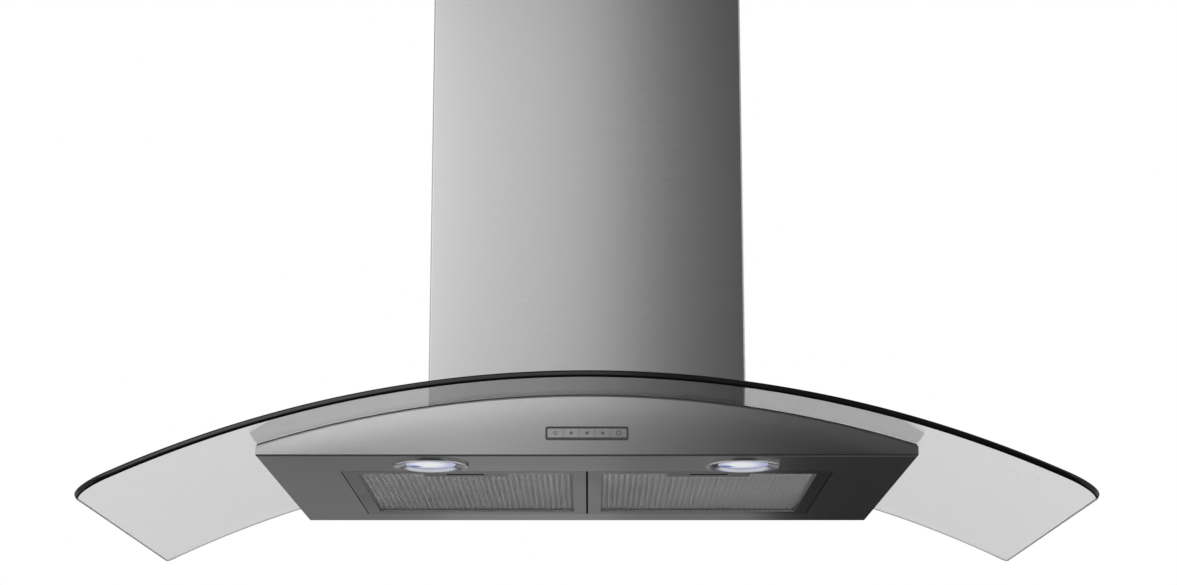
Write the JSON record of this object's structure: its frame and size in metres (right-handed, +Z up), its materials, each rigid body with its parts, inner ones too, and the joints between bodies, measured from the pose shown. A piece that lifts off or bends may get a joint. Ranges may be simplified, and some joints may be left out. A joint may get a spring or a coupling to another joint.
{
  "type": "island range hood",
  "caption": "Ceiling-hung island range hood: telescoping steel chimney over a curved glass canopy and a flat arched body with filters, lamps and a button panel.",
  "frame": {"origin": "centre of the ceiling plate's top face, between its four anchor holes", "axes": "+Z up to the ceiling, the control panel faces -Y, +X to the right of someone facing the panel"},
  "size_m": [0.8992, 0.504, 0.7939],
  "materials": {
    "chimney_steel": "brushed stainless steel, grain across",
    "body_steel": "brushed stainless steel, grain across",
    "zinc_sheet": "galvanised sheet",
    "canopy_glass": "clear toughened glass, polished edge",
    "lens_glass": "frosted lens",
    "seal_rubber": "soft black rubber",
    "filter_aluminium": "anodised, satin",
    "mesh_aluminium": "expanded mesh",
    "latch_metal": "satin",
    "lamp_chrome": "polished",
    "lamp_aluminium": "turned",
    "panel_black": "gloss black",
    "button_grey": "satin grey, plain symbols",
    "board_green": "solder mask",
    "switch_plastic": "moulded",
    "housing_plastic": "moulded",
    "motor_paint": "enamel",
    "wheel_plastic": "glass-filled nylon",
    "bolt_steel": "zinc plated",
    "flap_aluminium": "plain sheet"
  },
  "bodies": {
    "ceiling_frame": {"ceiling_plate": "zinc_sheet", "hanger_screws": "bolt_steel", "upper_uprights": "zinc_sheet"},
    "upper_chimney": {"upper_chimney_front": "chimney_steel", "upper_chimney_rear": "chimney_steel"},
    "hood": {"lower_uprights": "zinc_sheet", "frame_brace": "zinc_sheet", "clamp_bolts": "bolt_steel", "lower_chimney_front": "chimney_steel", "lower_chimney_rear": "chimney_steel", "chimney_screws": "bolt_steel", "base_frame": "zinc_sheet", "upper_glass_seal": "seal_rubber", "glass_canopy": "canopy_glass", "lower_glass_seal": "seal_rubber", "glass_bolts": "bolt_steel", "body_shell": "body_steel", "body_top_plate": "body_steel", "panel_bezel": "panel_black", "switch_board": "board_green", "tact_switches": "switch_plastic", "switch_housing": "housing_plastic", "lamp_driver": "housing_plastic", "lamp_leads": "switch_plastic", "lamp_clips": "bolt_steel", "motor_box": "zinc_sheet", "blower_scroll": "zinc_sheet", "blower_side_left": "zinc_sheet", "blower_side_right": "zinc_sheet", "motor_body": "motor_paint", "motor_bracket": "zinc_sheet", "outlet_collar": "housing_plastic", "flap_pin": "bolt_steel", "control_box": "housing_plastic", "cable_gland": "housing_plastic", "motor_capacitor": "housing_plastic", "lamp_ring_left": "lamp_chrome", "lamp_lens_left": "lens_glass", "lamp_can_left": "lamp_aluminium", "lamp_ring_right": "lamp_chrome", "lamp_lens_right": "lens_glass", "lamp_can_right": "lamp_aluminium"},
    "blower_wheel": {"blower_wheel": "wheel_plastic", "wheel_blades": "wheel_plastic", "motor_shaft": "bolt_steel"},
    "flap_front": {"flap_front": "flap_aluminium"},
    "flap_rear": {"flap_rear": "flap_aluminium"},
    "filter_left": {"filter_frame_left": "filter_aluminium", "filter_mesh_left": "mesh_aluminium", "latch_plate_left": "latch_metal"},
    "latch_left": {"latch_slide_left": "latch_metal"},
    "filter_right": {"filter_frame_right": "filter_aluminium", "filter_mesh_right": "mesh_aluminium", "latch_plate_right": "latch_metal"},
    "latch_right": {"latch_slide_right": "latch_metal"},
    "button_1": {"button_1": "button_grey"},
    "button_2": {"button_2": "button_grey"},
    "button_3": {"button_3": "button_grey"},
    "button_4": {"button_4": "button_grey"},
    "button_5": {"button_5": "button_grey"}
  },
  "joints": [
    {"name": "height_adjust", "type": "slide", "parent": "ceiling_frame", "child": "hood", "axis": [0, 0, 1], "range_m": [-0.12, 0.1]},
    {"name": "upper_chimney_drop", "type": "slide", "parent": "ceiling_frame", "child": "upper_chimney", "axis": [0, 0, -1], "range_m": [0, 0.15]},
    {"name": "button_press_1", "type": "slide", "parent": "hood", "child": "button_1", "axis": [0, 1, 0], "range_m": [0, 0.001], "stiffness_N_per_m": 800, "springref_m": -0.001},
    {"name": "button_press_2", "type": "slide", "parent": "hood", "child": "button_2", "axis": [0, 1, 0], "range_m": [0, 0.001], "stiffness_N_per_m": 800, "springref_m": -0.001},
    {"name": "button_press_3", "type": "slide", "parent": "hood", "child": "button_3", "axis": [0, 1, 0], "range_m": [0, 0.001], "stiffness_N_per_m": 800, "springref_m": -0.001},
    {"name": "button_press_4", "type": "slide", "parent": "hood", "child": "button_4", "axis": [0, 1, 0], "range_m": [0, 0.001], "stiffness_N_per_m": 800, "springref_m": -0.001},
    {"name": "button_press_5", "type": "slide", "parent": "hood", "child": "button_5", "axis": [0, 1, 0], "range_m": [0, 0.001], "stiffness_N_per_m": 800, "springref_m": -0.001},
    {"name": "filter_tilt_left", "type": "hinge", "parent": "hood", "child": "filter_left", "pos_m": [-0.1155, 0.159, -0.745], "axis": [1, 0, 0], "range_deg": [0, 70]},
    {"name": "latch_pull_left", "type": "slide", "parent": "filter_left", "child": "latch_left", "axis": [0, 1, 0], "range_m": [0, 0.0045], "stiffness_N_per_m": 400, "springref_m": -0.002},
    {"name": "filter_tilt_right", "type": "hinge", "parent": "hood", "child": "filter_right", "pos_m": [0.1155, 0.159, -0.745], "axis": [1, 0, 0], "range_deg": [0, 70]},
    {"name": "latch_pull_right", "type": "slide", "parent": "filter_right", "child": "latch_right", "axis": [0, 1, 0], "range_m": [0, 0.0045], "stiffness_N_per_m": 400, "springref_m": -0.002},
    {"name": "blower_spin", "type": "hinge", "parent": "hood", "child": "blower_wheel", "pos_m": [0, -0.021, -0.5565], "axis": [1, 0, 0], "continuous": true},
    {"name": "flap_front_open", "type": "hinge", "parent": "hood", "child": "flap_front", "pos_m": [0, 0, -0.3636], "axis": [-1, 0, 0], "range_deg": [0, 75]},
    {"name": "flap_rear_open", "type": "hinge", "parent": "hood", "child": "flap_rear", "pos_m": [0, 0, -0.3636], "axis": [1, 0, 0], "range_deg": [0, 75]}
  ]
}
